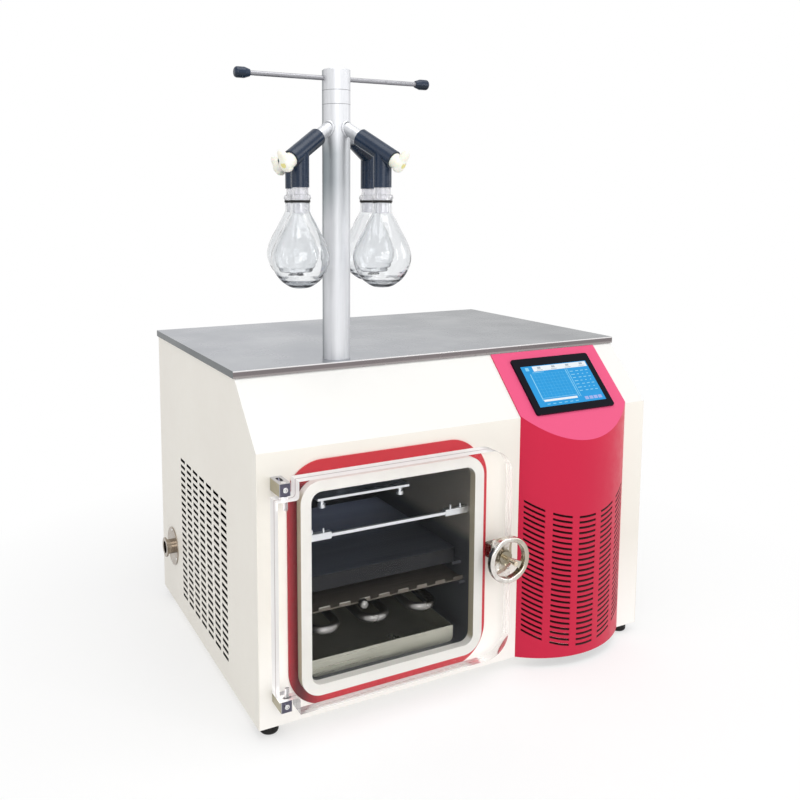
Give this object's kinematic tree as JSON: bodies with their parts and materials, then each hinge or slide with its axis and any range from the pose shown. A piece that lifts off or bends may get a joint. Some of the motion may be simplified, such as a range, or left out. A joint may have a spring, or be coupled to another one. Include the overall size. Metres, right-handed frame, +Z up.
{
  "type": "freeze dryer",
  "caption": "Bench-top freeze dryer: steel cabinet, clear-doored drying chamber with stoppering press, louvred control cover with touch screen, and a flask manifold on top.",
  "frame": {"origin": "on the floor under the middle of the whole object's outline", "axes": "+X to the machine's right, +Y to its back, +Z up; the door faces -Y"},
  "size_m": [0.8208, 0.6788, 1.0747],
  "materials": {
    "cream_steel": "smooth powder coat",
    "red_coat": "smooth satin paint",
    "plate_steel": "long straight brushing",
    "chamber_steel": "satin stainless steel",
    "tray_steel": "bright rolled steel",
    "seal_rubber": "matt white silicone",
    "door_acrylic": "clear polished acrylic sheet",
    "chrome": "polished chrome",
    "screen_frame": "gloss black",
    "screen_glass": "lit blue panel",
    "black_rubber": "matt black rubber",
    "column_steel": "fine satin stainless steel",
    "navy_rubber": "smooth glossy moulded rubber",
    "cream_plastic": "smooth moulded plastic",
    "clear_glass": "clear blown glass",
    "knob_steel": "polished",
    "machine_black": "black baked enamel",
    "fin_aluminium": "plain fin stock",
    "black_plastic": "moulded black plastic"
  },
  "bodies": {
    "cabinet": {"base_pan": "cream_steel", "left_side_panel": "cream_steel", "right_side_panel": "cream_steel", "front_panel": "cream_steel", "rear_panel": "cream_steel", "top_plate": "plate_steel", "door_trim": "red_coat", "chamber": "chamber_steel", "door_seal": "seal_rubber", "upper_hinge_block": "chrome", "lower_hinge_block": "chrome", "latch_block": "chrome", "control_cover": "red_coat", "screen_bezel": "screen_frame", "screen_display": "screen_glass", "rubber_feet": "black_rubber", "manifold_column": "column_steel", "column_collar": "column_steel", "valve_body_1": "navy_rubber", "valve_body_2": "navy_rubber", "valve_body_3": "navy_rubber", "valve_body_4": "navy_rubber", "flask_adapter_1": "clear_glass", "flask_adapter_2": "clear_glass", "flask_adapter_3": "clear_glass", "flask_adapter_4": "clear_glass", "flask_o_rings": "black_rubber", "flask_1": "clear_glass", "flask_2": "clear_glass", "flask_3": "clear_glass", "flask_4": "clear_glass", "cross_bar": "chamber_steel", "shelf": "chamber_steel", "baffle_plate": "chamber_steel", "baffle_knob": "knob_steel", "condenser_coil": "chamber_steel", "drip_tray": "tray_steel", "vacuum_port": "chrome", "port_escutcheon": "chrome", "compressor": "machine_black", "radiator": "fin_aluminium", "fan_motor": "machine_black", "power_inlet": "black_plastic"},
    "door": {"door_plate": "door_acrylic", "latch_bush": "chrome", "hinge_pins": "chrome"},
    "latch_wheel": {"handwheel": "chrome"},
    "latch_bolt": {"latch_spindle": "chrome"},
    "press": {"press_plate": "chamber_steel", "press_rod": "chamber_steel", "press_posts": "chamber_steel"},
    "press_handle": {"handle_head": "column_steel", "t_bar": "column_steel", "left_grip": "navy_rubber", "right_grip": "navy_rubber"},
    "plug_1": {"valve_plug_1": "cream_plastic"},
    "plug_2": {"valve_plug_2": "cream_plastic"},
    "plug_3": {"valve_plug_3": "cream_plastic"},
    "plug_4": {"valve_plug_4": "cream_plastic"},
    "fan": {"fan_blades": "black_plastic"}
  },
  "joints": [
    {"name": "door_hinge", "type": "hinge", "parent": "cabinet", "child": "door", "pos_m": [-0.3609, -0.2814, 0.2475], "axis": [0, 0, -1], "range_deg": [0, 110]},
    {"name": "latch_turn", "type": "hinge", "parent": "door", "child": "latch_wheel", "pos_m": [0.0361, -0.3074, 0.2475], "axis": [0, 1, 0], "range_deg": [0, 1440]},
    {"name": "latch_advance", "type": "slide", "parent": "door", "child": "latch_bolt", "axis": [0, 1, 0], "range_m": [0, 0.01]},
    {"name": "press_turn", "type": "hinge", "parent": "cabinet", "child": "press_handle", "pos_m": [-0.1919, -0.1164, 1.0596], "axis": [0, 0, -1], "range_deg": [0, 1080]},
    {"name": "press_slide", "type": "slide", "parent": "cabinet", "child": "press", "axis": [0, 0, -1], "range_m": [0, 0.03]},
    {"name": "plug_turn_1", "type": "hinge", "parent": "cabinet", "child": "plug_1", "pos_m": [-0.10591, -0.07372, 0.934], "axis": [0.7757, 0.3851, -0.5], "range_deg": [0, 180]},
    {"name": "plug_turn_2", "type": "hinge", "parent": "cabinet", "child": "plug_2", "pos_m": [-0.23458, -0.03041, 0.934], "axis": [-0.3851, 0.7757, -0.5], "range_deg": [0, 180]},
    {"name": "plug_turn_3", "type": "hinge", "parent": "cabinet", "child": "plug_3", "pos_m": [-0.27789, -0.15909, 0.934], "axis": [-0.7757, -0.3851, -0.5], "range_deg": [0, 180]},
    {"name": "plug_turn_4", "type": "hinge", "parent": "cabinet", "child": "plug_4", "pos_m": [-0.14921, -0.20239, 0.934], "axis": [0.3851, -0.7757, -0.5], "range_deg": [0, 180]},
    {"name": "fan_spin", "type": "hinge", "parent": "cabinet", "child": "fan", "pos_m": [0.2346, -0.1589, 0.168], "axis": [0, 1, 0], "continuous": true}
  ],
  "couplings": [
    {"joint": "latch_advance", "follows": "latch_turn", "m_per_rad": 0.00039788},
    {"joint": "press_slide", "follows": "press_turn", "m_per_rad": 0.0015915}
  ]
}
